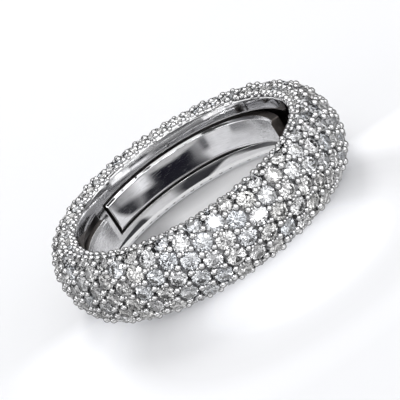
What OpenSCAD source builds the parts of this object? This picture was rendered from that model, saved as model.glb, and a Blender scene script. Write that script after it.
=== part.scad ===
// Eternity ring: a domed band set all over with small round stones, with two sprung liner
// bars in slots in its polished inner wall. Millimetres. The finger axis is +Z, and the
// ring lies on its side with its lowest stones at z = 0. The front of the ring is at -Y.

/* [Finger hole] */
// Diameter across the middle of the inner wall, where it is narrowest
bore_d = 16.76; // [16.4:0.1:18]
// Radius that the inner wall is rounded to, from lip to lip
comfort_r = 10.9; // [10:0.1:13]
// Thickness of the polished lip that rises beside the stones
lip_t = 0.16; // [0.14:0.02:0.3]

/* [Dome] */
// Height of the dome over the inner wall, measured to the tables of the middle stones
dome_h = 2.74; // [2.6:0.02:3]
// Width of the ring along the finger
dome_w = 5.28; // [5.1:0.04:5.6]
// Radius of the round shoulders of the cross-section
shoulder_r = 1.25; // [1.2:0.01:1.35]
// How far up the dome the shoulders are centred, as a share of its height
shoulder_share = 0.4168; // [0.38:0.01:0.46]

/* [Stones] */
// Diameter of the stones along the middle of the dome
stone_d = 1.3; // [1.24:0.02:1.34]
// Diameter of a stone that would sit right beside a lip
edge_stone_d = 0.9; // [0.8:0.02:1]
// Gap between two stones that follow each other across the dome
gap_across = 0.17; // [0.14:0.01:0.24]
// Gap between two stones that lie side by side along the ring
gap_along = 0.23; // [0.2:0.01:0.3]
// Table width, as a share of a stone's diameter
table_share = 0.56; // [0.5:0.01:0.62]
// Crown height, as a share of a stone's diameter
crown_share = 0.15; // [0.12:0.01:0.16]
// Girdle height, as a share of a stone's diameter
girdle_share = 0.03; // [0.02:0.01:0.04]
// Pavilion depth, as a share of a stone's diameter
pavilion_share = 0.43; // [0.41:0.01:0.44]
// Rows of fine stones beside each lip whose place is left as plain metal
fine_rows = 1; // [1:1:2]

/* [Setting] */
// Depth of the metal bed below the tables of the stones
bed_drop = 0.45; // [0.42:0.01:0.5]
// Clearance between a stone and its drilled seat
seat_gap = 0.1; // [0.1:0.01:0.12]

/* [Liner bars] */
// Width of a liner bar along the finger
bar_w = 2.32; // [2:0.04:2.4]
// Thickness of a liner bar
bar_t = 0.75; // [0.6:0.05:0.8]
// Bevel along the edges of a bar's inner face
bar_bevel = 0.16; // [0.1:0.02:0.24]
// How far a seated bar's face stands in front of the edges of its slot
bar_proud = 0.02; // [0:0.01:0.05]
// Gap between the upper edge of a bar and its slot
gap_above = 0.24; // [0.15:0.01:0.3]
// Gap between the lower edge of a bar and its slot
gap_below = 0.1; // [0.1:0.01:0.15]
// Gap between the back of a bar and the floor of its slot
gap_behind = 0.17; // [0.1:0.01:0.2]
// Gap between the seated end of a bar and the end of its slot
gap_seated_end = 0.35; // [0.2:0.05:0.5]
// Gap between the sprung end of a bar and the end of its slot
gap_sprung_end = 0.65; // [0.4:0.05:0.9]
// Inner radius of the sprung stretch of a bar, where it curls away from the wall
sprung_r = 6.6; // [6.4:0.1:7.4]
// Angle of the sprung stretch, seen from the finger axis
sprung_arc = 58.5; // [50:0.5:62]

/* [Slots] */
// Angle of each slot in the inner wall
slot_arc = 122.7; // [116:0.1:126]
// Angle of the bridge of metal between the two slots
bridge_arc = 7.1; // [5:0.1:10]
// Where the first slot starts, counted from +X
slot_start = 12; // [0:1:20]

/* [Hidden] */

// The cross-section of the dome is a flatter crown arc that runs on into two shoulder arcs.
// Its points are counted by arc length s from the middle of the dome, towards +Z.
bore_r = bore_d / 2;
shoulder_c = bore_r + shoulder_share * dome_h;
shoulder_z = dome_w / 2 - shoulder_r;
crown_rise = bore_r + dome_h - shoulder_c;
crown_r = (pow(crown_rise, 2) + pow(shoulder_z, 2) - pow(shoulder_r, 2)) / (2 * (crown_rise - shoulder_r));
crown_c = bore_r + dome_h - crown_r;
crown_tilt = asin(shoulder_z / (crown_r - shoulder_r));
degree = PI / 180;
crown_len = crown_r * crown_tilt * degree;

function side(s) = s < 0 ? -1 : 1;
function on_crown(s) = abs(s) <= crown_len;
// Angle of the dome's surface at s: 0 faces outwards, 90 faces +Z
function tilt(s) = on_crown(s) ? s / crown_r / degree
    : side(s) * (crown_tilt + (abs(s) - crown_len) / shoulder_r / degree);
// Point of the cross-section at s, as [radius, height], at a depth under the dome
function dome_point(s, depth = 0) = on_crown(s)
    ? [crown_c + (crown_r - depth) * cos(tilt(s)), (crown_r - depth) * sin(tilt(s))]
    : [shoulder_c + (shoulder_r - depth) * cos(tilt(s)),
       side(s) * shoulder_z + (shoulder_r - depth) * sin(tilt(s))];

// Where the shoulder meets the rounded inner wall: the edge of the lip
wall_c = bore_r + comfort_r;
wall_reach = norm([wall_c - shoulder_c, shoulder_z]);
lip_tilt = atan2(-shoulder_z, wall_c - shoulder_c)
    + acos((pow(shoulder_r, 2) + pow(wall_reach, 2) - pow(comfort_r, 2)) / (2 * shoulder_r * wall_reach));
lip_len = crown_len + (lip_tilt - crown_tilt) * degree * shoulder_r;

// The stones stand in rows around the ring, each row half a step on from the last, so that
// every second row shares its columns. A stone is an octagon with flats to its neighbours.
sides = 8;
flat_share = cos(180 / sides);
girdle_scale = crown_r / (crown_r - crown_share * stone_d);
row_step = (stone_d * flat_share + gap_across) / 2 * girdle_scale;
column_step = sqrt(pow(stone_d + gap_along, 2) - pow(row_step / girdle_scale, 2));
girdle_r = bore_r + dome_h - crown_share * stone_d;
columns = floor(360 * degree * girdle_r / (2 * column_step));
pitch = 360 / columns;
last_row = floor((lip_len - lip_t - edge_stone_d / 2) / row_step);
set_rows = last_row - fine_rows;
centre_rows = 2;
// Where the rows with an odd number start: in the middle of the front
front = -90;

function row_s(k) = k * row_step;
// Stones keep their size over the crown and grow finer round the shoulder to the lip
function row_d(k) = stone_d
    - (stone_d - edge_stone_d) * max(0, abs(tilt(row_s(k))) - crown_tilt / 2) / (lip_tilt - crown_tilt / 2);
function column_angle(k, j) = front + (j + (k % 2 == 0 ? 0.5 : 0)) * pitch;

// One cut stone: rings of corners round its table and girdle, and the point of its
// pavilion, as rows of [share of the radius, depth as a share of the diameter]
cut = [[table_share, 0], [1, crown_share], [1, crown_share + girdle_share]];
stone_depth_share = crown_share + girdle_share + pavilion_share;
function stone_points(k, j) =
    let (a = column_angle(k, j), t = tilt(row_s(k)), d = row_d(k), p = dome_point(row_s(k)),
        table = [p[0] * cos(a), p[0] * sin(a), p[1]],
        out = [cos(t) * cos(a), cos(t) * sin(a), sin(t)],
        across = [-sin(t) * cos(a), -sin(t) * sin(a), cos(t)],
        along = [-sin(a), cos(a), 0])
    concat(
        [for (ring = cut, i = [0 : sides - 1]) let (w = (i + 0.5) * 360 / sides)
            table + ring[0] * d / 2 * (cos(w) * across + sin(w) * along) - ring[1] * d * out],
        [table - stone_depth_share * d * out]);
corners = len(cut) * sides + 1;
function stone_faces(n) =
    let (first = n * corners, rings = len(cut), point = first + corners - 1)
    concat(
        [[for (i = [0 : sides - 1]) first + i]],
        [for (q = [0 : rings - 2], i = [0 : sides - 1])
            let (a = first + q * sides, b = a + sides, next = (i + 1) % sides)
            [a + i, b + i, b + next, a + next]],
        [for (i = [0 : sides - 1]) let (b = first + (rings - 1) * sides)
            [b + i, point, b + (i + 1) % sides]]);

function field_points(rows) = [for (k = rows, j = [0 : columns - 1]) each stone_points(k, j)];
function field_faces(rows) = [for (n = [0 : len(rows) * columns - 1]) each stone_faces(n)];
centre_field = [for (k = [-centre_rows : centre_rows]) k];
side_field = [for (k = [-set_rows : set_rows]) if (abs(k) > centre_rows) k];

// The seats are cut from just above the bed, so that no two cones meet in the air over it
seat_rise = 0.03;

// The ring lies on the corners of its lowest tables
rest_z = max([for (p = field_points([set_rows])) p[2]]);

slot_w = bar_w + gap_above + gap_below;
slot_edge_r = wall_c - sqrt(pow(comfort_r, 2) - pow(slot_w / 2, 2));
bar_r = slot_edge_r - bar_proud;
bar_z = (gap_below - gap_above) / 2;
slot_floor_r = bar_r + bar_t + gap_behind;
// A radius inside the finger hole, clear of the wall, where cuts through the wall start
clear_r = bore_r - 2;
// The two stretches of a bar run into each other by this angle, so that they are one solid
bar_lap = 0.5;

metal = [0.78, 0.79, 0.81];
bar_metal = [0.7, 0.71, 0.74];
stone = [0.9, 0.93, 0.97];

// Outline of the dome's cross-section, sunk by a depth
module dome_outline(depth) {
    intersection() {
        translate([crown_c, 0]) circle(r = crown_r - depth, $fn = 240);
        translate([shoulder_c, -shoulder_z]) square([crown_r, 2 * shoulder_z]);
    }
    for (z = [-shoulder_z, shoulder_z])
        translate([shoulder_c, z]) circle(r = shoulder_r - depth, $fn = 120);
    translate([clear_r, -shoulder_z]) square([shoulder_c - clear_r, 2 * shoulder_z]);
}

// Everything outside the rounded inner wall, moved out by a depth
module behind_wall(depth) {
    translate([wall_c, 0]) circle(r = comfort_r - depth, $fn = 360);
}

module band_section() {
    intersection() {
        dome_outline(bed_drop);
        behind_wall(0);
    }
    difference() {
        intersection() {
            dome_outline(0);
            behind_wall(0);
        }
        behind_wall(lip_t);
    }
}

// The cone drilled for the pavilion of one stone, clear of it by the seat gap
module seat(k, j) {
    slope = 0.5 / pavilion_share;
    stone_depth = stone_depth_share * row_d(k);
    depth = stone_depth + seat_gap;
    apex = stone_depth + seat_gap / sin(atan(slope));
    mouth = bed_drop - seat_rise;
    p = dome_point(row_s(k), depth);
    rotate([0, 0, column_angle(k, j)]) translate([p[0], 0, p[1]])
        rotate([0, 90 - tilt(row_s(k)), 0])
            cylinder(h = depth - mouth, r1 = (apex - depth) * slope, r2 = (apex - mouth) * slope, $fn = 24);
}

module slot(start) {
    rotate([0, 0, start]) rotate_extrude(angle = slot_arc, $fn = 180)
        translate([clear_r, -slot_w / 2]) square([slot_floor_r - clear_r, slot_w]);
}

module band() {
    color(metal) translate([0, 0, rest_z]) difference() {
        rotate_extrude($fn = 180) band_section();
        for (k = [-set_rows : set_rows], j = [0 : columns - 1]) seat(k, j);
        for (n = [0, 1]) slot(slot_start + n * (slot_arc + bridge_arc));
    }
}

// Cross-section of a bar whose inner face is at radius r
module bar_section(r) {
    w = bar_w / 2;
    polygon([[r, bar_bevel - w], [r + bar_bevel, -w], [r + bar_t, -w],
             [r + bar_t, w], [r + bar_bevel, w], [r, w - bar_bevel]]);
}

// A bar lies in its slot from its seated end and curls inwards over its sprung stretch
module liner_bar(start) {
    sprung_from = gap_sprung_end / bore_r / degree;
    seated_to = slot_arc - gap_seated_end / bore_r / degree;
    leaves_at = sprung_from + sprung_arc;
    shift = bar_r - sprung_r;
    curl = sprung_arc + asin(shift * sin(sprung_arc) / sprung_r);
    color(bar_metal) translate([0, 0, rest_z + bar_z]) rotate([0, 0, start + leaves_at]) {
        rotate([0, 0, -bar_lap])
            rotate_extrude(angle = seated_to - leaves_at + bar_lap, $fn = 180) bar_section(bar_r);
        translate([shift, 0, 0]) rotate([0, 0, -curl])
            rotate_extrude(angle = curl, $fn = 180) bar_section(sprung_r);
    }
}

module liner_bar_1() { liner_bar(slot_start); }
module liner_bar_2() { liner_bar(slot_start + slot_arc + bridge_arc); }

module stones(rows) {
    color(stone) translate([0, 0, rest_z])
        polyhedron(points = field_points(rows), faces = field_faces(rows), convexity = 10);
}

module centre_stones() { stones(centre_field); }
module side_stones() { stones(side_field); }

band();
liner_bar_1();
liner_bar_2();
centre_stones();
side_stones();
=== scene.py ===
import math

import bmesh
import bpy
import numpy as np
from mathutils import Matrix, Vector


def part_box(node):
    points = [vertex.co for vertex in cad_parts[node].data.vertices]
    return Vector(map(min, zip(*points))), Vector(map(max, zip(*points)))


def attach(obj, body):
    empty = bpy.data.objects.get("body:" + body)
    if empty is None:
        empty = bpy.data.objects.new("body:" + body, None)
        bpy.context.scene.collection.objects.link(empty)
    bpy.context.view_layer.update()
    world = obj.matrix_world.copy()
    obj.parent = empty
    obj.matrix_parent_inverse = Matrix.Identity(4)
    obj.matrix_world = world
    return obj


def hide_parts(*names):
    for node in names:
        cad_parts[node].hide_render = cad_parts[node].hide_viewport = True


# Eternity ring with small round stones set all over its dome. Lengths in the
# dictionaries are millimetres, angles degrees; the scene itself is in metres.
mm = 0.001
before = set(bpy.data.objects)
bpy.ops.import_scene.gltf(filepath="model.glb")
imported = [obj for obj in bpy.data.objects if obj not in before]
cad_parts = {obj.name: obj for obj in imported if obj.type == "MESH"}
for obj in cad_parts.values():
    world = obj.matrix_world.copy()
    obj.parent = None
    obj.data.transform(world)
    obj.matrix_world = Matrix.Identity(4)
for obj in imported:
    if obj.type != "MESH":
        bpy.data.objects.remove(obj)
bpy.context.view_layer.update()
low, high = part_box("band")
restHeight = (low.z + high.z) / 2  # the middle of the ring's width


def link(piece):
    bpy.context.scene.collection.objects.link(piece)
    return piece


def fill(tree, node, inputs):
    # each input gets a link or a value
    for key, value in inputs.items():
        if isinstance(value, bpy.types.NodeSocket):
            tree.links.new(value, node.inputs[key])
        else:
            node.inputs[key].default_value = value


def wire(tree, kind, inputs=None, **settings):
    node = tree.nodes.new(kind)
    for key, value in settings.items():
        setattr(node, key, value)
    fill(tree, node, inputs or {})
    return node


def reckon(tree, operation, a, b=0.0):
    return wire(tree, "ShaderNodeMath", {0: a, 1: b}, operation=operation).outputs[0]


def stretch(tree, value, start, end, first=0.0, last=1.0):
    # first to last while the value goes from start to end, and no further
    spans = {"Value": value, "From Min": start, "From Max": end, "To Min": first, "To Max": last}
    return wire(tree, "ShaderNodeMapRange", spans).outputs[0]


def grey(tone):
    return (tone, tone, tone, 1) if isinstance(tone, (int, float)) else tone


def mixTones(tree, factor, under, over, blend="MIX"):
    tones = {"Factor": factor, "A": grey(under), "B": grey(over)}
    return wire(tree, "ShaderNodeMix", tones, data_type="RGBA", blend_type=blend).outputs["Result"]


# The dome's cross-section, which the band, the stones and the grains share.
dome = {
    "boreRadius": 8.38,
    "comfortRadius": 10.9,
    "height": 2.74,
    "width": 5.28,
    "crownRadius": 4.2,
    "shoulderRadius": 1.25,
    "lipThickness": 0.16,
    "lowLipThickness": 0.55,  # the edge that the ring rests on is left wider and smooth
    "lipRounding": 0.04,
    "bedDepth": 0.84,  # the metal between the stones, below their tables
}
crownCentre = dome["boreRadius"] + dome["height"] - dome["crownRadius"]
shoulderHeight = dome["width"] / 2 - dome["shoulderRadius"]
crownTilt = math.asin(shoulderHeight / (dome["crownRadius"] - dome["shoulderRadius"]))
shoulderCentre = crownCentre + (dome["crownRadius"] - dome["shoulderRadius"]) * math.cos(crownTilt)
crownLength = dome["crownRadius"] * crownTilt
wallCentre = dome["boreRadius"] + dome["comfortRadius"]


def domePoint(s, depth=0.0):
    # s runs over the dome from its middle, towards +Z
    if abs(s) <= crownLength:
        tilt, r = s / dome["crownRadius"], dome["crownRadius"] - depth
        return crownCentre + r * math.cos(tilt), r * math.sin(tilt)
    side = math.copysign(1, s)
    tilt = crownTilt + (abs(s) - crownLength) / dome["shoulderRadius"]
    r = dome["shoulderRadius"] - depth
    return shoulderCentre + r * math.cos(tilt), side * (shoulderHeight + r * math.sin(tilt))


def wallRadius(z, depth=0.0):
    return wallCentre - math.sqrt((dome["comfortRadius"] - depth) ** 2 - z * z)


def whereDomeMeets(wallDepth, domeDepth=0.0):
    # arc length at which the dome, sunk by a depth, runs into the wall moved out by another
    a, b = crownLength, crownLength + math.pi * dome["shoulderRadius"]
    for _ in range(50):
        mid = (a + b) / 2
        r, z = domePoint(mid, domeDepth)
        if r > wallRadius(min(z, 5), wallDepth):
            a = mid
        else:
            b = mid
    return a


lipTop = whereDomeMeets(0)
lipInner = whereDomeMeets(dome["lipThickness"])
bedEnd = whereDomeMeets(dome["lipThickness"], dome["bedDepth"])
lowLipInner = whereDomeMeets(dome["lowLipThickness"])
lowBedEnd = whereDomeMeets(dome["lowLipThickness"], dome["bedDepth"])
lipTilt = crownTilt + (lipTop - crownLength) / dome["shoulderRadius"]


def roundCorner(before, corner, after, radius, steps=4):
    # a short curve in place of a sharp corner of a section
    a, c, b = np.array(before), np.array(corner), np.array(after)
    u, v = (a - c) / np.linalg.norm(a - c), (b - c) / np.linalg.norm(b - c)
    p, q = c + u * radius, c + v * radius
    return [tuple((1 - t) ** 2 * p + 2 * t * (1 - t) * c + t * t * q) for t in np.linspace(0, 1, steps)]


def meshPiece(name, verts, faces, materials):
    mesh = bpy.data.meshes.new(name)
    mesh.from_pydata([tuple(v) for v in verts], [], faces)
    for m in materials:
        mesh.materials.append(m)
    mesh.polygons.foreach_set("use_smooth", [True] * len(mesh.polygons))
    mesh.update()
    return link(bpy.data.objects.new(name, mesh))


print("section ready")

finish = {
    "wallColor": (0.80, 0.80, 0.81, 1),
    "barColor": (0.86, 0.86, 0.88, 1),
    "bedColor": (0.96, 0.96, 0.98, 1),
    # painted shade: the slots' insides are darkened to stand for the dark recess
    "slotShadeColor": (0.30, 0.29, 0.29, 1),
    # painted shade: the bars' sides and back are darkened to stand for the dark gaps round them
    "barSideShadeColor": (0.12, 0.107, 0.10, 1),
    "grainColor": (0.90, 0.90, 0.91, 1),
    "rubStretch": 9.0,  # rubs run round the ring, so they are narrow along Z
    "rubSpan": (0.45, 0.75),
    "rubHeight": 0.004,
    "rubDarkening": 0.12,
    "rimShadeSpan": (0.18, 0.57),  # painted shade: how far from facing the eye a bead starts and ends to darken
    "satinSpan": (8.40, 8.0),  # radii where the bars' satin starts and is full
    "stoneBend": 2.42,  # index of refraction
    "stoneTones": ((0.90, 0.94, 1.0, 1), (0.985, 0.985, 1.0, 1), (1.0, 0.99, 0.975, 1)),
    "stoneShown": (0.9, 0.93, 0.97, 0.6),
}


def polishMarksGroup():
    # slow waves of hand polishing and hairline rubs, for every metal
    group = bpy.data.node_groups.new("polishMarks", "ShaderNodeTree")
    face = group.interface
    for name, value in (("Wave Size", 1.0), ("Rub Size", 1.0), ("Rub Share", 0.3)):
        face.new_socket(name, in_out="INPUT", socket_type="NodeSocketFloat").default_value = value
    for name in ("Roughness", "Height", "Tone"):
        face.new_socket(name, in_out="OUTPUT", socket_type="NodeSocketFloat")
    ins = wire(group, "NodeGroupInput").outputs
    place = wire(group, "ShaderNodeTexCoord").outputs["Object"]

    def noise(where, size, detail):
        scale = reckon(group, "DIVIDE", 1 / mm, size)
        return wire(group, "ShaderNodeTexNoise", {"Vector": where, "Scale": scale, "Detail": detail}).outputs["Fac"]

    waves = noise(place, ins["Wave Size"], 1.0)
    across = {"Vector": place, "Scale": (1.0, 1.0, finish["rubStretch"])}
    rubs = noise(wire(group, "ShaderNodeMapping", across).outputs[0], ins["Rub Size"], 4.0)
    fine = stretch(group, rubs, *finish["rubSpan"])
    darker = reckon(group, "MULTIPLY", fine, finish["rubDarkening"])
    wire(group, "NodeGroupOutput", {
        "Roughness": reckon(group, "MULTIPLY", fine, ins["Rub Share"]),
        "Height": reckon(group, "ADD", waves, reckon(group, "MULTIPLY", rubs, finish["rubHeight"])),
        "Tone": reckon(group, "SUBTRACT", 1.0, darker)})
    return group


polishMarks = polishMarksGroup()


def newMaterial(name, color):
    m = bpy.data.materials.new(name)
    m.use_nodes = True
    m.diffuse_color = color
    return m, m.node_tree, m.node_tree.nodes["Principled BSDF"]


def metal(name, color, waveSize, rubSize, rubShare, roughness, bump, satin=0.0, rimShade=0.0):
    m, tree, shader = newMaterial(name, color)
    sizes = {"Wave Size": waveSize, "Rub Size": rubSize, "Rub Share": rubShare}
    marks = wire(tree, "ShaderNodeGroup", sizes, node_tree=polishMarks).outputs
    shown = mixTones(tree, 1.0, color, marks["Tone"], "MULTIPLY")
    if rimShade:
        # painted shade: a small bead darkens fast towards its edge
        facing = wire(tree, "ShaderNodeLayerWeight", {"Blend": 0.5}).outputs["Facing"]
        rimShadeFade = stretch(tree, facing, *finish["rimShadeSpan"], 1.0, 1.0 - rimShade)
        shown = mixTones(tree, 1.0, shown, rimShadeFade, "MULTIPLY")
    dull = reckon(tree, "ADD", marks["Roughness"], roughness)
    if satin:
        # rubbed satin where the bars curl in from the wall
        place = wire(tree, "ShaderNodeTexCoord").outputs["Object"]
        flat = wire(tree, "ShaderNodeVectorMath", {0: place, 1: (1, 1, 0)}, operation="MULTIPLY").outputs[0]
        reach = wire(tree, "ShaderNodeVectorMath", {0: flat}, operation="LENGTH").outputs["Value"]
        start, end = finish["satinSpan"]
        dull = reckon(tree, "ADD", dull, stretch(tree, reach, start * mm, end * mm, 0.0, satin))
    relief = wire(tree, "ShaderNodeBump", {"Strength": 1.0, "Distance": bump * mm, "Height": marks["Height"]})
    fill(tree, shader, {"Metallic": 1.0, "Base Color": shown, "Roughness": dull, "Normal": relief.outputs[0]})
    return m


def stoneMaterial(name):
    m, tree, shader = newMaterial(name, finish["stoneShown"])
    # each stone keeps one of these tones, by its own shade
    shade = wire(tree, "ShaderNodeAttribute", attribute_name="shade").outputs["Fac"]
    ramp = wire(tree, "ShaderNodeValToRGB", {"Fac": shade})
    cool, plain, warm = finish["stoneTones"]
    ramp.color_ramp.elements[0].color = cool
    ramp.color_ramp.elements[1].color = warm
    ramp.color_ramp.elements.new(0.5).color = plain
    fill(tree, shader, {"Transmission Weight": 1.0, "IOR": finish["stoneBend"], "Roughness": 0.0,
                        "Base Color": ramp.outputs["Color"]})
    return m


# the slots' insides: a rough metal darkened with painted shade for the recess
slotShadeMetal = metal("unpolishedSlotPaintedShade", finish["slotShadeColor"],
                  waveSize=0.6, rubSize=0.2, rubShare=0.3, roughness=0.40, bump=0.02)
# the bars' sides and back: a rough metal darkened with painted shade for the gaps
barSideShadeMetal = metal("unpolishedBarSidePaintedShade", finish["barSideShadeColor"],
                  waveSize=0.6, rubSize=0.2, rubShare=0.3, roughness=0.35, bump=0.02)
wallMetal = metal("mirrorPolishedWall", finish["wallColor"],
                  waveSize=3.0, rubSize=0.5, rubShare=0.10, roughness=0.05, bump=0.012)
barMetal = metal("polishedBar", finish["barColor"],
                 waveSize=3.5, rubSize=0.6, rubShare=0.12, roughness=0.03, bump=0.012, satin=0.2)
bedMetal = metal("brightCutBed", finish["bedColor"],
                 waveSize=0.35, rubSize=0.15, rubShare=0.30, roughness=0.40, bump=0.02)
grainMetal = metal("raisedGrain", finish["grainColor"],
                   waveSize=0.3, rubSize=0.1, rubShare=0.10, roughness=0.04, bump=0.004, rimShade=0.87)
clearStone = stoneMaterial("clearStone")
print("materials ready")

# One closed section is carried round the finger hole and hollowed by the two slots.
band = {
    "stations": 360,
    "wallSteps": 14,
    "lipSteps": 5,
    "domeSteps": 60,
    "slotHalfWidth": 1.33,
    "slotFloorRadius": 9.361,
    "slotFloorSteps": 8,
    "slotSideSteps": 4,
    "slotRounding": 0.04,
    "slotStart": 12.0,
    "slotArc": 122.7,
    "bridgeArc": 7.1,
    "sharpAngle": 50,
}
slotStarts = [band["slotStart"] + n * (band["slotArc"] + band["bridgeArc"]) for n in (0, 1)]


def bandSection():
    # two versions of one closed section, point for point: plain and slotted
    lipRound = dome["lipRounding"]
    w, deep, edge = band["slotHalfWidth"], band["slotFloorRadius"], band["slotRounding"]
    plain, slotted, inBed = [], [], []

    def add(p, q=None, bed=False):
        plain.append(p)
        slotted.append(q or p)
        inBed.append(bed)

    topZ = domePoint(lipTop)[1]
    # inner wall from the lower lip up to the slot
    rise = np.linspace(-topZ + 1.5 * lipRound, -w - edge, band["wallSteps"])
    for z in np.append(-topZ + 1.05 * lipRound, rise):
        add((wallRadius(z), z))
    # the slot's outline, and the same points laid flat along the wall
    mouth, beside = wallRadius(w), wallRadius(w + edge)
    side = np.linspace(mouth + 3 * edge, deep - edge, band["slotSideSteps"])
    outline = roundCorner((beside, -w - edge), (mouth, -w), (deep, -w), edge)[1:]
    outline += [(r, -w) for r in side] + [(deep, -w + edge)]
    outline += [(deep, z) for z in np.linspace(-w + 5 * edge, w - 5 * edge, band["slotFloorSteps"])]
    outline += [(deep, w - edge)] + [(r, w) for r in reversed(side)]
    outline += roundCorner((deep, w), (mouth, w), (beside, w + edge), edge)[:-1]
    for i, q in enumerate(outline):
        z = -w - edge + 2 * (w + edge) * (i + 1) / (len(outline) + 1)
        add((wallRadius(z), z), q)
    rise = np.linspace(w + edge, topZ - 1.5 * lipRound, band["wallSteps"])
    for z in np.append(rise, topZ - 1.05 * lipRound):
        add((wallRadius(z), z))

    def lip(inner, end):
        # round the upper lip, over its top and down to the bed
        over = [domePoint(s) for s in np.linspace(lipTop, inner, band["lipSteps"])]
        bedCorner = domePoint(end, dome["bedDepth"])
        under = topZ - 5 * lipRound
        around = roundCorner((wallRadius(under), under), over[0], over[1], lipRound)
        return around + over[1:-1] + roundCorner(over[-2], over[-1], bedCorner, lipRound) + [bedCorner]

    upper, lower = lip(lipInner, bedEnd), lip(lowLipInner, lowBedEnd)
    for i, p in enumerate(upper):
        add(p, bed=i >= len(upper) - 2)
    for s in np.linspace(bedEnd, -lowBedEnd, band["domeSteps"])[1:-1]:
        add(domePoint(s, dome["bedDepth"]), bed=True)
    for i, (r, z) in enumerate(reversed(lower)):
        add((r, -z), bed=i == 0)
    return np.array(plain), np.array(slotted), inBed


def bandStations():
    # azimuth and share of the slot's depth at each station, with close ones at the slots' ends
    rounding = math.degrees(band["slotRounding"] / dome["boreRadius"])
    edge = band["slotRounding"] / (band["slotFloorRadius"] - dome["boreRadius"])
    slots = [(first, first + band["slotArc"]) for first in slotStarts]
    made = []
    for a in np.arange(0, 360, 360 / band["stations"]):
        near = min(abs((a - end + 180) % 360 - 180) for slot in slots for end in slot)
        if near > 2 * rounding:
            inside = any((a - first) % 360 < last - first for first, last in slots)
            made.append((a, 1.0 if inside else 0.0))
    for slot in slots:
        for end, inwards in zip(slot, (1, -1)):
            made += [(end - inwards * rounding, 0.0), (end - inwards * 0.3 * rounding, 0.3 * edge),
                     (end, edge), (end + inwards * 1e-5, 1.0)]
    return sorted((a % 360, share) for a, share in made)


def makeBand():
    plain, slotted, inBed = bandSection()
    stations = bandStations()
    verts, faces, index = [], [], []
    for a, share in stations:
        c, s = math.cos(math.radians(a)), math.sin(math.radians(a))
        verts += [(r * c * mm, r * s * mm, z * mm + restHeight) for r, z in plain + (slotted - plain) * share]
    n, m = len(plain), len(stations)
    # the bed between the lips and the slots' insides have their own finishes; the slots' insides are darkened with
    # painted shade
    moved = np.hypot(*(slotted - plain).T) > 0.1
    for i in range(m):
        j = (i + 1) % m
        sunk = stations[i][1] > 0.5 or stations[j][1] > 0.5
        for k in range(n):
            after = (k + 1) % n
            faces.append((i * n + k, i * n + after, j * n + after, j * n + k))
            index.append(1 if inBed[k] else 2 if sunk and moved[k] and moved[after] else 0)
    piece = meshPiece("pavedBand", verts, faces, [wallMetal, bedMetal, slotShadeMetal])
    piece.data.polygons.foreach_set("material_index", index)
    # two stations meet at each slot's end, where all but the slot's own points coincide
    work = bmesh.new()
    work.from_mesh(piece.data)
    bmesh.ops.remove_doubles(work, verts=work.verts, dist=1e-8)
    work.to_mesh(piece.data)
    work.free()
    return piece


bandPiece = makeBand()
bpy.context.view_layer.objects.active = bandPiece
split = bandPiece.modifiers.new("split", "EDGE_SPLIT")
split.split_angle = math.radians(band["sharpAngle"])
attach(bandPiece, "root")
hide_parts("band")
print("band ready", len(bandPiece.data.polygons))

# A bevelled bar lies in each slot and curls inwards to its sprung end.
bar = {
    "width": 2.32,
    "thickness": 0.75,
    "bevel": 0.2,
    "bevelDepth": 0.16,
    "rounding": 0.05,
    "innerRadius": 8.4415,
    "height": -0.07,
    "sprungRadius": 6.6,
    "sprungArc": 58.5,
    "gapSeated": 0.35,
    "gapSprung": 0.65,
    "stations": 150,
}


def barSection():
    w, t, b, d, e = bar["width"] / 2, bar["thickness"], bar["bevel"], bar["bevelDepth"], bar["rounding"]
    corners = [(0, w - b), (d, w), (t, w), (t, -w), (d, -w), (0, b - w)]
    made = []
    for i, corner in enumerate(corners):
        before, after = corners[i - 1], corners[(i + 1) % len(corners)]
        ends = roundCorner(before, corner, after, 1.4 * e, 2)
        made += [ends[0], *roundCorner(before, corner, after, e, 4), ends[1]]
    return np.array(made)


def barPath(start):
    # points of the inner face and the way out from it, from the sprung end to the seated end
    sprungFrom = math.degrees(bar["gapSprung"] / dome["boreRadius"])
    seatedTo = band["slotArc"] - math.degrees(bar["gapSeated"] / dome["boreRadius"])
    leavesAt = sprungFrom + bar["sprungArc"]
    shift = bar["innerRadius"] - bar["sprungRadius"]
    offCentre = shift * math.sin(math.radians(bar["sprungArc"])) / bar["sprungRadius"]
    curl = bar["sprungArc"] + math.degrees(math.asin(offCentre))

    def arc(first, last, centre, radius):
        for a in np.radians(np.linspace(first, last, bar["stations"] // 2)):
            out = np.array([math.cos(a), math.sin(a)])
            yield np.array([centre, 0]) + radius * out, out

    path = [*arc(-curl, 0, shift, bar["sprungRadius"]), *[*arc(0, seatedTo - leavesAt, 0, bar["innerRadius"])][1:]]
    turn = math.radians(start + leavesAt)
    spin = np.array([[math.cos(turn), -math.sin(turn)], [math.sin(turn), math.cos(turn)]])
    return [(spin @ p, spin @ out) for p, out in path]


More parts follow.
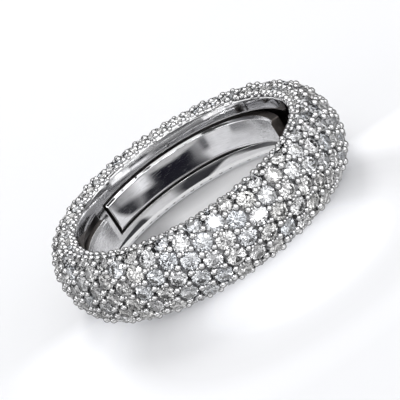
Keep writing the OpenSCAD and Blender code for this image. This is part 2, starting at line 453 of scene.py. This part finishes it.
def makeBar(name, start):
    section, path = barSection(), barPath(start)
    half = np.array([bar["thickness"], bar["width"]]) / 2
    middle = half * (1, 0)
    e = bar["rounding"]

    def roundedEnd(p, out, way):
        # the section is drawn in a little over the last stretch
        beyond = np.array([out[1], -out[0]]) * way
        return [(p - beyond * back, out, drawnIn) for back, drawnIn in ((0.0, e), (0.3 * e, 0.3 * e), (e, 0.0))]

    stations = roundedEnd(*path[0], 1) + [(p, out, 0.0) for p, out in path[1:-1]] + roundedEnd(*path[-1], -1)[::-1]
    verts = []
    for p, out, drawnIn in stations:
        for d, z in middle + (section - middle) * (1 - drawnIn / half):
            x, y = p + out * d
            verts.append((x * mm, y * mm, (z + bar["height"]) * mm + restHeight))
    n, m = len(section), len(stations)
    faces = [(i * n + k, i * n + (k + 1) % n, (i + 1) * n + (k + 1) % n, (i + 1) * n + k)
             for i in range(m - 1) for k in range(n)]
    faces.append(tuple(range(n))[::-1])
    faces.append(tuple((m - 1) * n + k for k in range(n)))
    piece = meshPiece(name, verts, faces, [barMetal, barSideShadeMetal])
    # the sides and back, from the second corner of the section to the fifth, and both ends, darkened with painted
    # shade for the gaps round the bar
    around = [1 if n / 6 + 3 <= k < 5 * n / 6 - 3 else 0 for k in range(n)]
    unpolishedAndShaded = [1] * n + around * (m - 3) + [1] * n + [1, 1]
    piece.data.polygons.foreach_set("material_index", unpolishedAndShaded)
    return piece


for number, start in enumerate(slotStarts, 1):
    piece = makeBar(f"linerBar{number}", start)
    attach(piece, "root")
    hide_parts(f"liner_bar_{number}")
print("liner bars ready")

# Stones and grains follow one rule, so one node tree sets them all.
pave = {
    "columns": 25,
    "rowStep": 0.7189,
    "stoneSize": 1.36,
    "edgeSize": 0.94,
    "tableShare": 0.56,
    "crownShare": 0.15,
    "kiteShare": 0.42,  # of the way from the table to the girdle
    "kiteDrop": 0.40,
    "pavilionShare": 0.43,
    "bellyShare": 0.24,
    "bellyDrop": 0.78,
    "grainSides": 10,
    "grainProfile": ((0.25, 0.433), (0.433, 0.25), (0.5, 0.0), (0.42, -0.25), (0.3, -0.45), (0.3, -1.5)),
    "curveSteps": 801,
    "lean": 2.5,
    "seed": 7,
}


def domeCurve():
    curve = bpy.data.curves.new("domeCurve", "CURVE")
    curve.dimensions = "3D"
    spline = curve.splines.new("POLY")
    steps = np.linspace(-lipTop, lipTop, pave["curveSteps"])
    spline.points.add(len(steps) - 1)
    for point, s in zip(spline.points, steps):
        r, z = domePoint(s)
        point.co = (r * mm, 0, z * mm, 1)
    return link(bpy.data.objects.new("domeCurve", curve))


def brilliant():
    # a round brilliant one unit across, its table at the origin and facing +Z
    table, crown, pavilion = pave["tableShare"] / 2, pave["crownShare"], pave["pavilionShare"]
    verts, faces = [], []

    def ring(count, radius, z, turn=0.0):
        first = len(verts)
        for i in range(count):
            a = math.radians((i + turn) * 360 / count)
            verts.append((radius * math.cos(a), radius * math.sin(a), z))
        return first

    top = ring(8, table, 0)
    kite = ring(8, table + pave["kiteShare"] * (0.5 - table), -pave["kiteDrop"] * crown, 0.5)
    girdle = ring(16, 0.5, -crown)
    belly = ring(8, 0.5 * pave["bellyShare"], -crown - pave["bellyDrop"] * pavilion, 0.5)
    verts.append((0, 0, -crown - pavilion))
    culet = len(verts) - 1
    faces.append([top + i for i in range(8)])
    for i in range(8):
        following, previous = (i + 1) % 8, (i - 1) % 8
        g, gNext, gPrev = (girdle + (2 * i + step) % 16 for step in (0, 1, -1))
        faces.append([top + i, kite + i, top + following])
        faces.append([top + i, kite + previous, g, kite + i])
        faces.append([kite + i, g, gNext])
        faces.append([kite + previous, gPrev, g])
        # below the girdle: two long halves, then a main facet between them
        faces.append([g, belly + i, gNext])
        faces.append([g, gPrev, belly + previous])
        faces.append([g, belly + previous, culet, belly + i])
    mesh = bpy.data.meshes.new("brilliant")
    mesh.from_pydata(verts, [], faces)
    return link(bpy.data.objects.new("brilliant", mesh))


def grain():
    # a raised bead of metal one unit across on its shank, the bead's middle at the origin
    count, rings = pave["grainSides"], len(pave["grainProfile"])
    verts = [(0, 0, 0.5)]
    for r, h in pave["grainProfile"]:
        turns = [i * 2 * math.pi / count for i in range(count)]
        verts += [(r * math.cos(a), r * math.sin(a), h) for a in turns]
    faces = [(0, 1 + i, 1 + (i + 1) % count) for i in range(count)]
    for q in range(rings - 1):
        a, b = 1 + q * count, 1 + (q + 1) * count
        faces += [(a + i, b + i, b + (i + 1) % count, a + (i + 1) % count) for i in range(count)]
    faces.append(tuple(1 + (rings - 1) * count + i for i in range(count))[::-1])
    return meshPiece("grain", verts, faces, [])


def paveTree():
    tree = bpy.data.node_groups.new("paveField", "GeometryNodeTree")
    face = tree.interface
    face.new_socket("Geometry", in_out="OUTPUT", socket_type="NodeSocketGeometry")
    kinds = {
        "Object": ("Dome Curve", "Set Piece"),
        "Int": ("Columns", "Per Column", "Inner Row", "Outer Row", "Lowest Row", "Seed"),
        "Float": ("Spread", "Row Step", "Depth", "Height", "Size", "Edge Size", "Size Spread", "Lean", "Spin",
                  "Jitter"),
        "Material": ("Material",),
    }
    for kind, names in kinds.items():
        for name in names:
            face.new_socket(name, in_out="INPUT", socket_type="NodeSocket" + kind)
    ins = wire(tree, "NodeGroupInput").outputs

    def calc(operation, a, b=0.0):
        return reckon(tree, operation, a, b)

    def vec(operation, a, b):
        inputs = {0: a, "Scale" if operation == "SCALE" else 1: b}
        return wire(tree, "ShaderNodeVectorMath", inputs, operation=operation).outputs["Vector"]

    def turned(vector, angle):
        inputs = {"Vector": vector, "Angle": angle}
        return wire(tree, "ShaderNodeVectorRotate", inputs, rotation_type="Z_AXIS").outputs[0]

    def seed(shift):
        return calc("ADD", ins["Seed"], float(shift))

    def atLeast(value, limit):
        inputs = {0: calc("ADD", value, 0.5), 1: limit}
        return wire(tree, "FunctionNodeCompare", inputs, data_type="FLOAT", operation="GREATER_EQUAL").outputs[0]

    def ofNumbers(sockets):
        return [socket for socket in sockets if socket.type == "VALUE"]

    # row and column of each point
    perRow = calc("MULTIPLY", ins["Columns"], ins["Per Column"])
    rows = calc("ADD", calc("MULTIPLY", ins["Outer Row"], 2.0), 1.0)
    points = wire(tree, "GeometryNodePoints", {"Count": calc("MULTIPLY", perRow, rows)}).outputs[0]
    index = wire(tree, "GeometryNodeInputIndex").outputs[0]
    rowNumber = calc("FLOOR", calc("DIVIDE", calc("ADD", index, 0.5), perRow))
    row = calc("SUBTRACT", rowNumber, ins["Outer Row"])
    inRow = calc("SUBTRACT", index, calc("MULTIPLY", rowNumber, perRow))
    column = calc("FLOOR", calc("DIVIDE", calc("ADD", inRow, 0.5), ins["Per Column"]))
    sub = calc("SUBTRACT", inRow, calc("MULTIPLY", column, ins["Per Column"]))
    rowSize = calc("ABSOLUTE", row)
    # the even rows, the middle one among them, are half a column on
    middleSub = calc("MULTIPLY", calc("SUBTRACT", ins["Per Column"], 1.0), 0.5)
    aside = calc("MULTIPLY", calc("SUBTRACT", sub, middleSub), ins["Spread"])
    halfOn = calc("MULTIPLY", calc("SUBTRACT", 1.0, calc("MODULO", rowSize, 2.0)), 0.5)
    share = calc("DIVIDE", calc("ADD", column, calc("ADD", aside, halfOn)), ins["Columns"])
    # a little off the mark, along the dome and round it
    off = wire(tree, "FunctionNodeRandomValue", {"Min": (-1, -1, 0), "Max": (1, 1, 0), "Seed": seed(3)},
               data_type="FLOAT_VECTOR")
    astray = wire(tree, "ShaderNodeSeparateXYZ", {0: vec("SCALE", off.outputs[0], ins["Jitter"])}).outputs
    ringSize = (dome["boreRadius"] + dome["height"]) * mm
    angle = calc("SUBTRACT", calc("MULTIPLY", share, 2 * math.pi), math.pi / 2)
    angle = calc("ADD", angle, calc("DIVIDE", astray["X"], ringSize))
    # where the row crosses the dome's section
    curve = wire(tree, "GeometryNodeObjectInfo", {"Object": ins["Dome Curve"]}).outputs["Geometry"]
    length = wire(tree, "GeometryNodeCurveLength", {"Curve": curve}).outputs[0]
    fromMiddle = calc("MULTIPLY", row, ins["Row Step"])
    s = calc("ADD", fromMiddle, calc("ADD", calc("MULTIPLY", length, 0.5), astray["Y"]))
    sample = wire(tree, "GeometryNodeSampleCurve", {"Curves": curve, "Length": s}, mode="LENGTH").outputs
    out = vec("CROSS_PRODUCT", (0, 1, 0), sample["Tangent"])
    sunk = vec("SUBTRACT", sample["Position"], vec("SCALE", out, ins["Depth"]))
    lift = wire(tree, "ShaderNodeCombineXYZ", {"Z": ins["Height"]}).outputs[0]
    raised = vec("ADD", turned(sunk, angle), lift)
    placed = wire(tree, "GeometryNodeSetPosition", {"Geometry": points, "Position": raised}).outputs[0]
    # facing outwards, with a little lean and any turn
    facing = wire(tree, "FunctionNodeAxesToRotation", {0: turned(out, angle), 1: turned(sample["Tangent"], angle)},
                  primary_axis="Z", secondary_axis="X").outputs[0]
    most = wire(tree, "ShaderNodeCombineXYZ", {"X": ins["Lean"], "Y": ins["Lean"], "Z": ins["Spin"]}).outputs[0]
    chance = wire(tree, "FunctionNodeRandomValue", {"Min": vec("SCALE", most, -1.0), "Max": most, "Seed": ins["Seed"]},
                  data_type="FLOAT_VECTOR").outputs[0]
    shaken = wire(tree, "FunctionNodeEulerToRotation", {0: chance}).outputs[0]
    rotation = wire(tree, "FunctionNodeRotateRotation", {0: facing, 1: shaken}, rotation_space="LOCAL").outputs[0]
    # finer towards the lips, and of slightly mixed sizes
    parts = wire(tree, "ShaderNodeSeparateXYZ", {0: out}).outputs
    tilt = calc("ABSOLUTE", calc("ARCTAN2", parts["Z"], parts["X"]))
    finer = stretch(tree, tilt, crownTilt / 2, lipTilt, ins["Size"], ins["Edge Size"])
    vary = wire(tree, "FunctionNodeRandomValue", {"Seed": seed(1)}, data_type="FLOAT")
    for socket, operation in zip(ofNumbers(vary.inputs), ("SUBTRACT", "ADD")):
        tree.links.new(calc(operation, 1.0, ins["Size Spread"]), socket)
    scale = calc("MULTIPLY", finer, ofNumbers(vary.outputs)[0])
    # only the rows asked for
    wanted = {0: atLeast(rowSize, ins["Inner Row"]), 1: atLeast(row, ins["Lowest Row"])}
    chosen = wire(tree, "FunctionNodeBooleanMath", wanted, operation="AND").outputs[0]
    source = wire(tree, "GeometryNodeObjectInfo", {"Object": ins["Set Piece"]}).outputs["Geometry"]
    setPieces = wire(tree, "GeometryNodeInstanceOnPoints", {
        "Points": placed, "Selection": chosen, "Instance": source, "Rotation": rotation, "Scale": scale}).outputs[0]
    # a shade for each piece, which the stones' material reads
    tone = wire(tree, "FunctionNodeRandomValue", {"Seed": seed(2)}, data_type="FLOAT")
    store = wire(tree, "GeometryNodeStoreNamedAttribute", {"Geometry": setPieces, "Name": "shade"},
                 data_type="FLOAT", domain="INSTANCE")
    value = next(socket for socket in ofNumbers(store.inputs) if socket.name == "Value")
    tree.links.new(ofNumbers(tone.outputs)[0], value)
    real = wire(tree, "GeometryNodeRealizeInstances", {"Geometry": store.outputs[0]}).outputs[0]
    done = wire(tree, "GeometryNodeSetMaterial", {"Geometry": real, "Material": ins["Material"]}).outputs[0]
    wire(tree, "NodeGroupOutput", {"Geometry": done})
    return tree


fieldTree = paveTree()
curveHelper, stoneHelper, grainHelper = domeCurve(), brilliant(), grain()


def setField(name, setPiece, material, **values):
    carrier = link(bpy.data.objects.new(name + "Carrier", bpy.data.meshes.new(name + "Carrier")))
    nodes = carrier.modifiers.new("paveField", "NODES")
    nodes.node_group = fieldTree
    given = {
        "Dome Curve": curveHelper, "Set Piece": setPiece, "Material": material, "Columns": pave["columns"],
        "Per Column": 1, "Spread": 0.0, "Inner Row": 0, "Outer Row": 2, "Lowest Row": -9, "Row Step": pave["rowStep"],
        "Depth": 0.0, "Height": restHeight / mm, "Size": pave["stoneSize"], "Edge Size": pave["edgeSize"],
        "Size Spread": 0.03, "Lean": math.radians(pave["lean"]), "Spin": math.pi, "Jitter": 0.0, "Seed": 0,
    }
    given.update(values)
    given["Seed"] += pave["seed"]
    for length in ("Row Step", "Depth", "Height", "Size", "Edge Size", "Jitter"):
        given[length] *= mm
    for item in fieldTree.interface.items_tree:
        if item.in_out == "INPUT":
            nodes[item.identifier] = given[item.name]
    graph = bpy.context.evaluated_depsgraph_get()
    mesh = bpy.data.meshes.new_from_object(carrier.evaluated_get(graph))
    bpy.data.objects.remove(carrier)
    mesh.name = name
    return link(bpy.data.objects.new(name, mesh))


# Rows are counted from the middle one, and the row step takes the outer row to its place on the dome.
edgeRow = {"Per Column": 3, "Spread": 1 / 3, "Inner Row": 1, "Outer Row": 1}
upperOnly = {"Lowest Row": 1}
secondRow = {"Inner Row": 2, "Outer Row": 2}
loose = {"Depth": 0.08, "Jitter": 0.08}
stoneFields = {
    "centreBrilliants": {},
    "sideBrilliants": {"Inner Row": 3, "Outer Row": 4},
    "fineBrilliants": {**edgeRow, **upperOnly, "Row Step": 3.74, "Size": 0.68, "Edge Size": 0.68},
    "fillBrilliants": {**edgeRow, "Per Column": 2, "Spread": 0.34, "Row Step": 3.08, "Size": 0.66, "Edge Size": 0.66},
}
grainFields = {
    "raisedGrains": {**loose, "Per Column": 2, "Spread": 2 / 3, "Outer Row": 4, "Size": 0.5, "Edge Size": 0.44,
                     "Size Spread": 0.16},
    "neckGrains": {**loose, "Per Column": 2, "Spread": 0.87, "Outer Row": 4, "Size": 0.28, "Edge Size": 0.28,
                   "Size Spread": 0.12, "Seed": 10},
    "betweenGrains": {**loose, **edgeRow, **secondRow, "Row Step": 3.42 / 2, "Size": 0.44, "Edge Size": 0.44,
                      "Size Spread": 0.1, "Seed": 20},
    "lipGrains": {**loose, **edgeRow, **secondRow, **upperOnly, "Row Step": 4.05 / 2, "Size": 0.48, "Edge Size": 0.48,
                  "Size Spread": 0.16, "Seed": 30},
    "rimGrains": {**loose, **edgeRow, **upperOnly, "Row Step": 4.26, "Depth": 0.04, "Size": 0.36, "Edge Size": 0.36,
                  "Size Spread": 0.16, "Seed": 40},
}
standsFor = {"centreBrilliants": "centre_stones", "sideBrilliants": "side_stones"}
for fields, helper, material, slotName in (
    (stoneFields, stoneHelper, clearStone, "stone"), (grainFields, grainHelper, grainMetal, "band_metal"),
):
    for name, values in fields.items():
        piece = setField(name, helper, material, **values)
        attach(piece, "root")
        if name in standsFor:
            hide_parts(standsFor[name])
        print(piece.name, len(piece.data.polygons), "faces")
for helper in (curveHelper, stoneHelper, grainHelper):
    bpy.data.objects.remove(helper)

# Floor, light and camera. Mirrors see a floor painted with dark and light tones, painted reflections, which the camera
# doesn't; the camera sees painted shade through the ring and a painted bright patch and soft shadow before it.
stage = {
    "floorSize": 3000,
    "floorHeight": -0.153,  # the grains' tops stand a little proud of the dome
    "floorColor": (0.92, 0.92, 0.93, 1),
    "floorRoughness": 0.7,
    "mottleScale": 90.0,
    "mottleTone": 0.98,
    "coolness": 0.006,  # added to the blue of each tone in the lists below
    # what the camera sees: the floor through the ring, with painted shade and a painted brightening, and outside it,
    # with a painted fill
    "holeTones": ((-4.6, 0.46), (-2.5, 0.53), (-1.0, 0.60), (1.5, 0.70), (3.8, 0.88)),  # from left to right
    "glowPlace": (0.0, 14.4, 0.0),  # the near lip, as the camera lays it on the floor
    "glowSpan": (6.3, 8.2),  # distances from there between which painted light brightens the floor to this tone
    "glowSide": (-3.5, -1.5),
    "glowTone": 0.95,
    "glowShare": 0.8,
    "openTone": 0.53,
    "openLift": (0.355, 0.36, 0.375, 1),  # a glow painted into the floor as a soft fill, which keeps the shadows pale
    "brightPlace": (3.0, -13.0, 0.0),  # a painted bright patch before the ring, with a painted soft shadow round it
    "brightTones": (  # how the lift varies with the distance from it
        (0.0, 1.8), (4.5, 1.75), (6.3, 1.45), (7.5, 1.08), (8.6, 0.9), (10.0, 0.78), (11.4, 0.8), (12.4, 1.0),
        (13.6, 1.3), (15.5, 1.6), (18.0, 1.5), (24.0, 1.1),
    ),
    "brightReach": (30.0, 14.0),
    "brightBefore": (-3.6, -6.6),
    # painted reflections: mirrors and stones see a floor of made-up dark and light tones
    # what mirrors and stones see: the far wall, as a hollow mirror, draws its picture of
    # the floor together at one place, so tones are laid out round it
    "outsideRadius": 9.3,
    "floorSeen": 0.48,
    "apexPlace": (0.0, 4.6, 0.0),
    "apexSpan": (0.5, 0.3),
    "apexTone": 0.45,
    "swayScale": 500.0,
    "sway": 4.0,
    "outerSpan": (2.3, 3.3),
    "nearTones": (  # angle round that place, and tone, close to it
        (-180, 0.3), (-143, 0.5), (-123, 0.7), (-82, 0.9), (-56, 0.92), (-36, 0.8), (-27, 0.55), (-21, 0.22),
        (-14, 0.06), (-8, 0.02), (14, 0.015), (22, 0.04), (30, 0.03), (35, 0.08), (43, 0.3), (50, 0.18),
        (60, 0.06), (75, 0.05), (95, 0.05), (120, 0.08), (135, 0.2), (150, 0.28), (180, 0.05),
    ),
    "outerTones": (  # and further out
        (-180, 0.5), (-80, 0.9), (-56, 0.85), (-43, 0.6), (-38, 0.17), (-32, 0.14), (-26, 0.3), (-20, 0.2),
        (-16, 0.05), (-12, 0.012), (17, 0.012), (22, 0.05), (26, 0.35), (31, 0.8), (38, 1.0), (46, 0.75),
        (55, 0.58), (75, 0.46), (82, 0.26), (89, 0.45), (100, 0.3), (118, 0.08), (150, 0.25), (180, 0.25),
    ),
    "nearSide": (-4.75, -5.2),
    "endSpan": (4.6, 5.4),
    "endTone": 0.04,  # a painted dark reflection on the sprung end's face
    # a mirror close to the floor is the wall's low edge or a bevel, one far off the sprung bar
    "wallReach": 4.0,
    "edgeReach": 1.9,
    "wallSpan": (1.8, 2.2),
    "wallTones": (  # distance along the wall, and tone
        (-4.0, 0.06), (-2.9, 0.07), (-2.5, 0.95), (-1.0, 0.85), (-0.5, 0.3), (-0.1, 0.06), (1.6, 0.05), (2.0, 1.0),
        (8.0, 1.0),
    ),
    "wallSway": 1.5,
    "wallLean": 0.8,  # the wall's painted dark reflection leans to one side
    "wallLeanFrom": 2.4,
    "sprungSpan": (0.0, 0.4),
    "sprungSlant": 0.5,
    "sprungTones": ((-1.0, 1.0), (1.2, 0.88), (2.0, 0.75), (3.3, 0.85), (4.3, 0.3)),  # from its right to its left
    # painted light: a tone and glow that the bevels and the low lip show as a highlight
    "bevelRadius": 7.9,
    "bevelTone": 0.55,
}


def toneRamp(tree, value, tones):
    # grey tones laid out along a value, given in the value's own units
    first, last = float(tones[0][0]), float(tones[-1][0])
    ramp = wire(tree, "ShaderNodeValToRGB", {"Fac": stretch(tree, value, first, last)})
    stops = ramp.color_ramp.elements
    for number, (at, tone) in enumerate(tones):
        place = (at - first) / (last - first)
        stop = stops[number] if number < 2 else stops.new(place)
        stop.position, stop.color = place, (tone, tone, tone + stage["coolness"], 1)
    return ramp.outputs["Color"]


def makeFloor():
    m, tree, shader = newMaterial("paleFloor", stage["floorColor"])
    place = wire(tree, "ShaderNodeTexCoord").outputs["Object"]
    path = wire(tree, "ShaderNodeLightPath").outputs

    def calc(operation, a, b=0.0):
        return reckon(tree, operation, a, b)

    def between(value, span):
        return stretch(tree, value, *span)

    def over(factor, under, tone):
        return mixTones(tree, factor, under, tone)

    def noise(scale, detail):
        return wire(tree, "ShaderNodeTexNoise", {"Vector": place, "Scale": scale, "Detail": detail}).outputs["Fac"]

    def measured(operation, point=(0, 0, 0)):
        inputs = {0: place, 1: Vector(point) * mm}
        return calc("DIVIDE", wire(tree, "ShaderNodeVectorMath", inputs, operation=operation).outputs["Value"], mm)

    # where a point lies, in millimetres and degrees round the apex
    fromApex = wire(tree, "ShaderNodeVectorMath", {0: place, 1: Vector(stage["apexPlace"]) * mm}, operation="SUBTRACT")
    flat = wire(tree, "ShaderNodeSeparateXYZ", {0: fromApex.outputs["Vector"]}).outputs
    across, onward = calc("DIVIDE", flat["X"], mm), calc("DIVIDE", flat["Y"], mm)
    side = calc("MULTIPLY", calc("ARCTAN2", flat["X"], calc("MULTIPLY", flat["Y"], -1.0)), 180 / math.pi)
    wobble = calc("SUBTRACT", noise(stage["swayScale"], 2.0), 0.5)
    swayed = calc("ADD", side, calc("MULTIPLY", wobble, stage["sway"]))
    apexFar = measured("DISTANCE", stage["apexPlace"])
    reach = measured("LENGTH")
    outside = calc("GREATER_THAN", reach, stage["outsideRadius"])

    # painted reflections: what the bar, the wall and the sprung part see
    barSees = over(between(apexFar, stage["outerSpan"]), toneRamp(tree, swayed, stage["nearTones"]),
                   toneRamp(tree, swayed, stage["outerTones"]))
    barSees = over(between(apexFar, stage["apexSpan"]), barSees, stage["apexTone"])
    leaning = between(across, (0.0, 1.0))
    leaning = calc("MULTIPLY", calc("MULTIPLY", leaning, stage["wallLean"]),
                   calc("SUBTRACT", onward, stage["wallLeanFrom"]))
    along = calc("ADD", calc("ADD", across, calc("MULTIPLY", wobble, stage["wallSway"])), leaning)
    wallSees = toneRamp(tree, along, stage["wallTones"])
    slanted = calc("SUBTRACT", calc("MULTIPLY", onward, stage["sprungSlant"]), across)
    sprungSees = toneRamp(tree, slanted, stage["sprungTones"])

    near = calc("LESS_THAN", path["Ray Length"], stage["wallReach"] * mm)
    close = calc("LESS_THAN", path["Ray Length"], stage["edgeReach"] * mm)
    bevelled = calc("MULTIPLY", close, calc("GREATER_THAN", reach, stage["bevelRadius"]))
    fromWall = calc("MULTIPLY", near, between(onward, stage["wallSpan"]))
    fromSprung = calc("MULTIPLY", calc("SUBTRACT", 1.0, near), between(onward, stage["sprungSpan"]))
    mirrored = barSees
    for factor, tone in (
        (fromWall, wallSees), (fromSprung, sprungSees), (between(onward, stage["nearSide"]), stage["floorSeen"]),
        (between(across, stage["endSpan"]), stage["endTone"]), (close, wallSees), (bevelled, stage["bevelTone"]),
        (outside, stage["floorSeen"]),
    ):
        mirrored = over(factor, mirrored, tone)

    # what the camera sees: inside the ring painted shade and a painted brightening, and outside it
    glowing = calc("MULTIPLY", between(measured("DISTANCE", stage["glowPlace"]), stage["glowSpan"]),
                   between(across, stage["glowSide"]))
    throughHole = over(calc("MULTIPLY", glowing, stage["glowShare"]), toneRamp(tree, across, stage["holeTones"]),
                       stage["glowTone"])
    mottled = stretch(tree, noise(stage["mottleScale"], 3.0), 0.0, 1.0, stage["mottleTone"], 1.0)
    plain = mixTones(tree, 1.0, stage["floorColor"], mottled, "MULTIPLY")
    seen = mixTones(tree, 1.0, plain, over(outside, throughHole, stage["openTone"]), "MULTIPLY")

    # the lift, a glow painted into the floor with a painted bright patch and soft shadow, and a little painted light
    # of its own where a bevel looks, a painted highlight in the bevels
    before = calc("MULTIPLY", between(reach, stage["brightReach"]), between(onward, stage["brightBefore"]))
    brightness = toneRamp(tree, measured("DISTANCE", stage["brightPlace"]), stage["brightTones"])
    lift = mixTones(tree, before, stage["openLift"], brightness, "MULTIPLY")
    direct = path["Is Camera Ray"]
    glow = over(bevelled, over(calc("MULTIPLY", direct, outside), 0.0, lift), stage["bevelTone"])
    fill(tree, shader, {"Roughness": stage["floorRoughness"], "Specular IOR Level": 0.0,
                        "Base Color": over(direct, mirrored, seen), "Emission Color": glow, "Emission Strength": 1.0})
    h, z = stage["floorSize"] / 2 * mm, stage["floorHeight"] * mm
    piece = meshPiece("floor", [(-h, -h, z), (h, -h, z), (h, h, z), (-h, h, z)], [(0, 1, 2, 3)], [m])


makeFloor()

# Light panels of differing brightness stand all round, by azimuth and elevation.
tent = {
    "panelWidth": 20,
    "panelHeight": 14,
    "panelGap": 4,
    "panelSoftness": 0.6,
    "panelSpan": (0.3, 0.7),
    "panelTones": (0.06, 1.9),  # dim and light panels
    "curtainMiddle": 56.0,  # a dim curtain behind the ring, which the upper wall sees
    "curtainReach": 68,  # to each side of its middle
    "curtainHeight": 32,
    "curtainTone": 0.36,
    "rearFrom": 122,  # and a row of darker panels, which only the bar's upper bevel draws together
    "rearHeight": 44,
    "rearTones": ((122, 0.05), (143, 0.06), (155, 0.10), (167, 0.18), (180, 0.30)),
    "frontMiddle": -101.0,  # a light one high in front
    "frontReach": 39,
    "frontFrom": 52,
    "frontTone": 1.0,
    "overheadSpan": (62.0, 66.0),
    "overheadTone": 1.3,
    "horizonSpan": (12.0, 16.0),  # below it only slow changes, which the curved wall draws out into streaks
    "horizonTones": (
        (-180, 0.6), (-162, 0.5), (-145, 0.3), (-135, 0.13), (-115, 0.09), (-95, 0.2), (-81, 0.4), (-70, 0.7),
        (-60, 1.5), (-47, 0.9), (-39, 0.6), (-26, 0.3), (-10, 0.15), (30, 0.12), (48, 0.05), (102, 0.08),
        (114, 0.4), (126, 0.9), (139, 1.6), (158, 1.6), (168, 0.75), (180, 0.6),
    ),
}


def makeTent():
    world = bpy.data.worlds.new("studio")
    world.use_nodes = True
    tree = world.node_tree

    def calc(operation, a, b=0.0):
        return reckon(tree, operation, a, b)

    way = wire(tree, "ShaderNodeSeparateXYZ", {0: wire(tree, "ShaderNodeTexCoord").outputs["Generated"]}).outputs
    azimuth = calc("MULTIPLY", calc("ARCTAN2", way["Y"], way["X"]), 180 / math.pi)
    elevation = calc("MULTIPLY", calc("ARCSINE", way["Z"]), 180 / math.pi)
    flat = wire(tree, "ShaderNodeCombineXYZ", {"X": azimuth, "Y": elevation}).outputs[0]
    panels = wire(tree, "ShaderNodeTexBrick", {
        "Vector": flat, "Color1": grey(1), "Color2": grey(0), "Mortar": grey(0), "Scale": 1.0,
        "Mortar Size": tent["panelGap"] / 2, "Mortar Smooth": tent["panelSoftness"],
        "Brick Width": tent["panelWidth"], "Row Height": tent["panelHeight"]}).outputs["Color"]
    (start, end), (dim, light) = tent["panelSpan"], tent["panelTones"]
    lit = wire(tree, "ShaderNodeMapRange", {"Value": panels, "From Min": start, "From Max": end, "To Min": dim,
                                            "To Max": light}, interpolation_type="SMOOTHSTEP").outputs[0]

    def within(middle, reach):
        return calc("LESS_THAN", calc("ABSOLUTE", calc("SUBTRACT", azimuth, middle)), reach)

    curtain = calc("MULTIPLY", within(tent["curtainMiddle"], tent["curtainReach"]),
                   calc("LESS_THAN", elevation, tent["curtainHeight"]))
    rear = calc("MULTIPLY", calc("GREATER_THAN", azimuth, tent["rearFrom"]),
                calc("LESS_THAN", elevation, tent["rearHeight"]))
    front = calc("MULTIPLY", within(tent["frontMiddle"], tent["frontReach"]),
                 calc("GREATER_THAN", elevation, tent["frontFrom"]))
    lit = mixTones(tree, curtain, lit, tent["curtainTone"])
    lit = mixTones(tree, rear, lit, toneRamp(tree, azimuth, tent["rearTones"]))
    lit = mixTones(tree, front, lit, tent["frontTone"])
    strip = toneRamp(tree, azimuth, tent["horizonTones"])
    lit = mixTones(tree, stretch(tree, elevation, *tent["horizonSpan"]), strip, lit)
    lit = mixTones(tree, stretch(tree, elevation, *tent["overheadSpan"]), lit, tent["overheadTone"])
    tree.links.new(lit, tree.nodes["Background"].inputs["Color"])
    bpy.context.scene.world = world


makeTent()

lights = {
    "keyLight": {"place": (-465, -70, 110), "size": (400, 190), "power": 0.26},
    "backLight": {"place": (40, 386, 282), "size": (130, 130), "power": 1.3},
    "rightLight": {"place": (380, -170, 160), "size": (400, 260), "power": 0.42},
    "flashAbove": {"place": (-3, -400, 387), "size": (70, 70), "power": 0.25},
    "flashLow": {"place": (21.5, -50.4, 1.5), "size": (8, 4), "power": 0.0008, "aim": (2.75, -10.7, 3.4)},
}
for name, values in lights.items():
    data = bpy.data.lights.new(name, "AREA")
    data.shape = "RECTANGLE"
    data.size, data.size_y = (side * mm for side in values["size"])
    data.energy = values["power"]
    piece = link(bpy.data.objects.new(name, data))
    piece.visible_camera = False
    piece.visible_glossy = name != "backLight"  # that one only draws the soft shadow in front
    place, aim = Vector(values["place"]), Vector(values.get("aim", (0, 0, 3)))
    piece.location = place * mm
    piece.rotation_euler = (aim - place).to_track_quat("-Z", "Y").to_euler()

shot = {
    "place": (0.0, -197.32, 77.36),
    "right": (0.83284, -0.19640, -0.51749),
    "up": (0.55351, 0.29510, 0.77881),
    "lens": 274.95,
}
camera = bpy.data.cameras.new("camera")
camera.lens, camera.sensor_width = shot["lens"], 36
camera.clip_start, camera.clip_end = 0.01, 10
cameraPiece = link(bpy.data.objects.new("camera", camera))
right, up = Vector(shot["right"]), Vector(shot["up"])
turn = Matrix((right, up, right.cross(up))).transposed().to_4x4()
cameraPiece.matrix_world = Matrix.Translation(Vector(shot["place"]) * mm) @ turn
bpy.context.scene.camera = cameraPiece
bpy.context.scene.view_settings.view_transform = "Standard"
print("stage ready")
